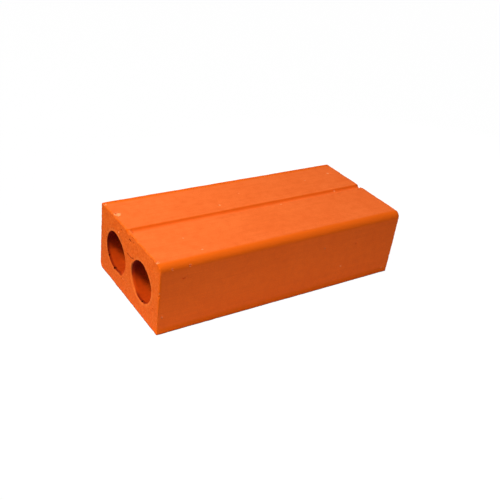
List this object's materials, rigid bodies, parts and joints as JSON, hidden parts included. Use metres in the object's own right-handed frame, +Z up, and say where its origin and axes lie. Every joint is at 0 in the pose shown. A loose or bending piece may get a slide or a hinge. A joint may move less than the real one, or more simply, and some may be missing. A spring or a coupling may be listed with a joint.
{
  "type": "perforated clay brick",
  "caption": "Extruded clay brick with round cores along its length and a shallow groove along the upper bed.",
  "frame": {"origin": "middle of the underside, the lower bed that the brick lies on", "axes": "+X along the length and the cores, +Y across the bed from the well rounded arris (front) to the back, +Z up from the lower bed to the grooved upper bed"},
  "size_m": [0.21, 0.095, 0.055],
  "materials": {
    "fired_clay": "matte, unglazed"
  },
  "bodies": {
    "root": {"brick": "fired_clay"}
  },
  "joints": []
}
